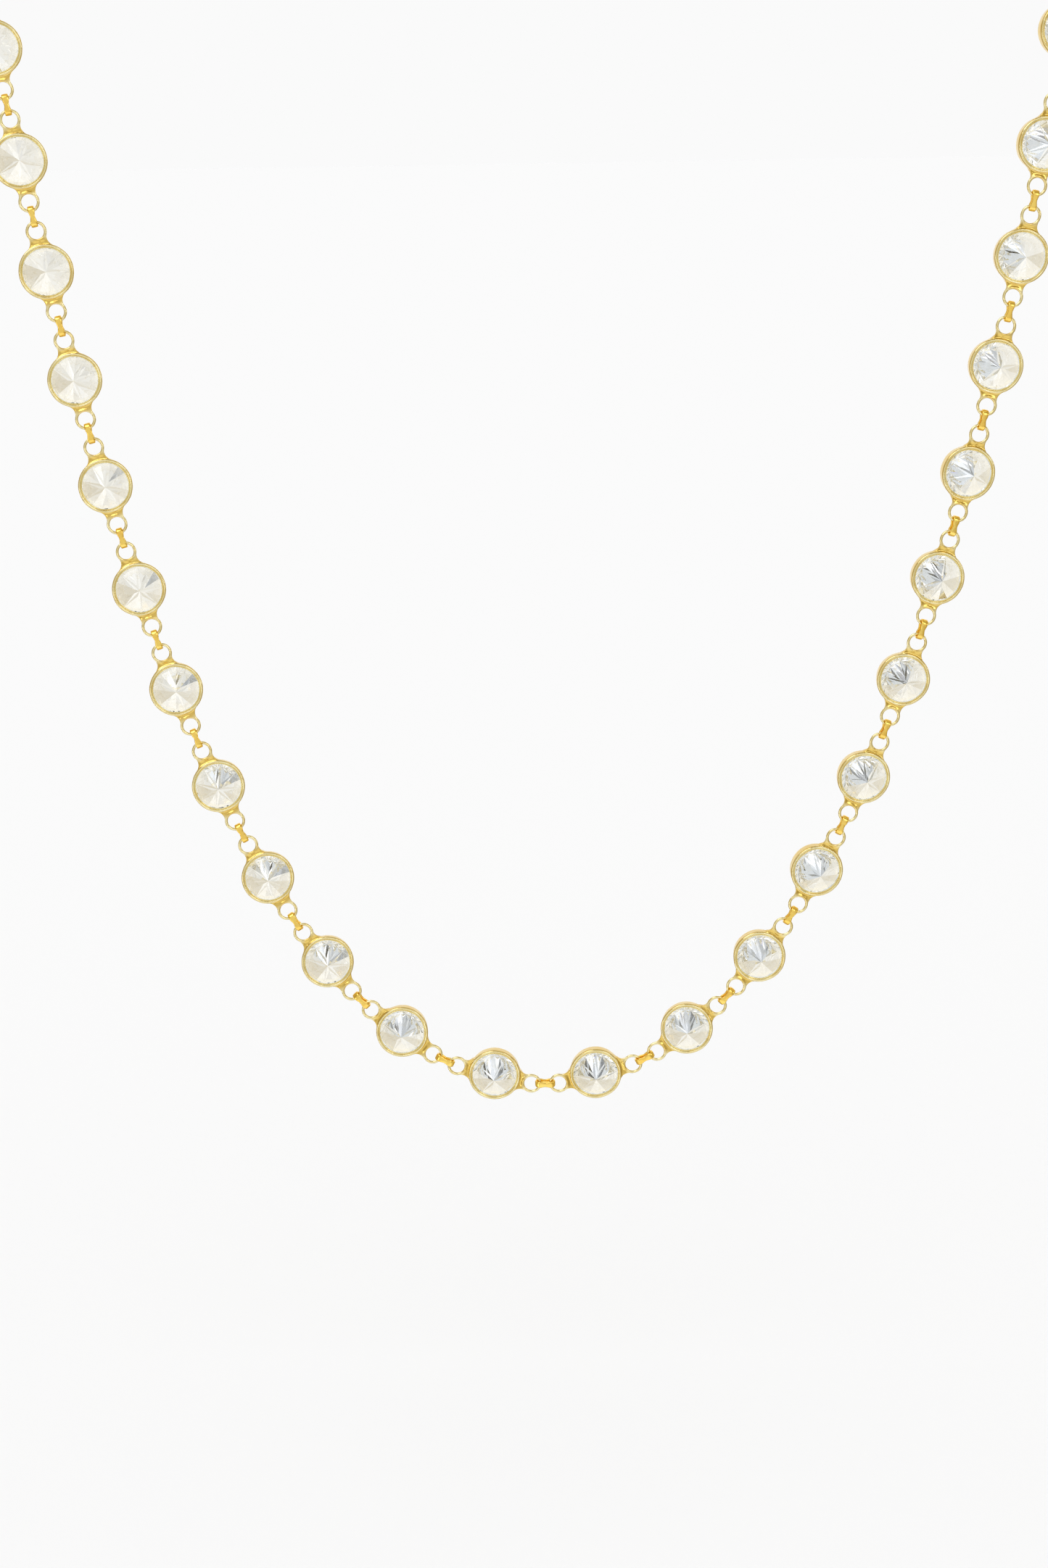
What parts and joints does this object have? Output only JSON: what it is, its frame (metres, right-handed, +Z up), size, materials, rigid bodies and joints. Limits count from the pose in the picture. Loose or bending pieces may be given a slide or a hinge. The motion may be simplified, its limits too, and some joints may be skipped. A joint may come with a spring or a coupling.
{
  "type": "bezel station necklace",
  "caption": "Closed station necklace of round cut stones in open-backed gold bezels with end loops, coupled by small oval links, with a plain barrel clasp at the nape.",
  "frame": {"origin": "middle of the neck that the necklace goes round, level with the clasp at the nape", "axes": "+Z up along the neck, +Y from the front to the nape, +X to the right as seen from the front; the stones of the hanging front look along -Y"},
  "size_m": [0.1163, 0.0787, 0.1361],
  "materials": {
    "gold": "polished pale yellow gold plating on brass",
    "link_gold": "polished deep yellow gold plating on brass wire",
    "stone": "polished colourless cubic zirconia"
  },
  "bodies": {
    "root": {"left_station_01": "gold", "left_station_02": "gold", "left_station_03": "gold", "left_station_04": "gold", "left_station_05": "gold", "left_station_06": "gold", "left_station_07": "gold", "left_station_08": "gold", "left_station_09": "gold", "left_station_10": "gold", "left_station_11": "gold", "left_station_12": "gold", "left_station_13": "gold", "left_station_14": "gold", "left_station_15": "gold", "left_station_16": "gold", "left_station_17": "gold", "left_station_18": "gold", "left_station_19": "gold", "left_station_20": "gold", "left_station_21": "gold", "left_station_22": "gold", "right_station_01": "gold", "right_station_02": "gold", "right_station_03": "gold", "right_station_04": "gold", "right_station_05": "gold", "right_station_06": "gold", "right_station_07": "gold", "right_station_08": "gold", "right_station_09": "gold", "right_station_10": "gold", "right_station_11": "gold", "right_station_12": "gold", "right_station_13": "gold", "right_station_14": "gold", "right_station_15": "gold", "right_station_16": "gold", "right_station_17": "gold", "right_station_18": "gold", "right_station_19": "gold", "right_station_20": "gold", "right_station_21": "gold", "right_station_22": "gold", "stones": "stone", "links": "link_gold", "clasp": "gold"}
  },
  "joints": []
}
